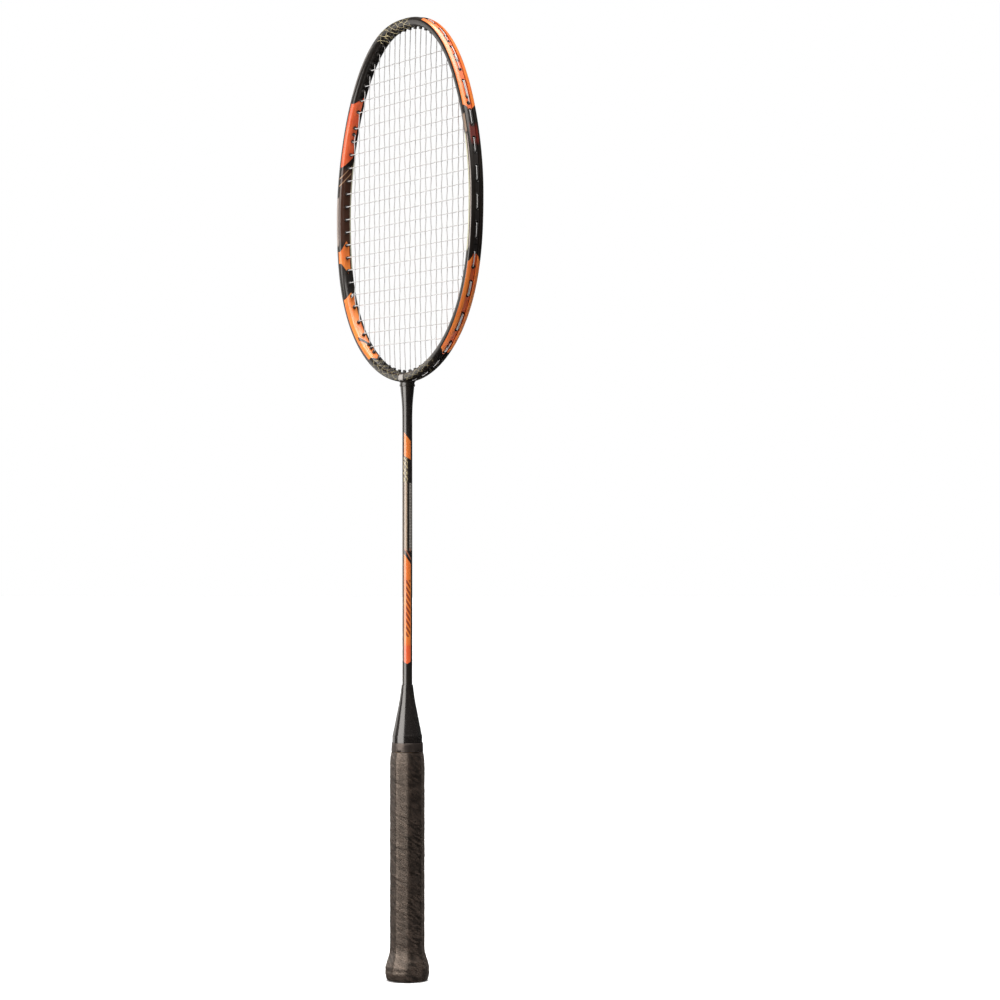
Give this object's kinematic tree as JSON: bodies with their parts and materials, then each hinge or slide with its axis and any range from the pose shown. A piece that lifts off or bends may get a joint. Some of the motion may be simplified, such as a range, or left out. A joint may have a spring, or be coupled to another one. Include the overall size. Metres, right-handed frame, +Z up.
{
  "type": "badminton racket",
  "caption": "Badminton racket with an isometric strung head, slim shaft, cone and octagonal wrapped handle, for hitting a shuttlecock.",
  "frame": {"origin": "middle of the flat end of the butt", "axes": "+Z up along the shaft to the top of the head, X across the head, Y through its thickness with the front at -Y"},
  "size_m": [0.2018, 0.0304, 0.675],
  "materials": {
    "head_paint": "gloss lacquer over carbon fibre, black with orange zones",
    "neck_paint": "gloss black lacquer over carbon fibre",
    "shaft_paint": "gloss lacquer over carbon fibre, black with orange bands",
    "cone_black": "gloss black moulding",
    "tape_black": "satin black tape",
    "grip_brown_black": "soft matt synthetic leather",
    "pale_wood": "bare turned wood",
    "butt_black": "satin black moulding",
    "grommet_black": "satin black nylon",
    "string_white": "translucent white nylon",
    "sticker_silver": "silver foil"
  },
  "bodies": {
    "root": {"head_frame": "head_paint", "throat_joint": "neck_paint", "throat_sticker": "sticker_silver", "shaft_tube": "shaft_paint", "cone_cap": "cone_black", "finishing_tape": "tape_black", "grip_wrap": "grip_brown_black", "handle_core": "pale_wood", "butt_cap": "butt_black", "grommet_strip_crown": "grommet_black", "grommet_strip_shoulder_left": "grommet_black", "grommet_strip_upper_side_left": "grommet_black", "grommet_strip_middle_side_left": "grommet_black", "grommet_strip_lower_side_left": "grommet_black", "grommet_strip_throat_left": "grommet_black", "grommet_strip_shoulder_right": "grommet_black", "grommet_strip_upper_side_right": "grommet_black", "grommet_strip_middle_side_right": "grommet_black", "grommet_strip_lower_side_right": "grommet_black", "grommet_strip_throat_right": "grommet_black", "main_string": "string_white", "cross_string": "string_white"}
  },
  "joints": []
}
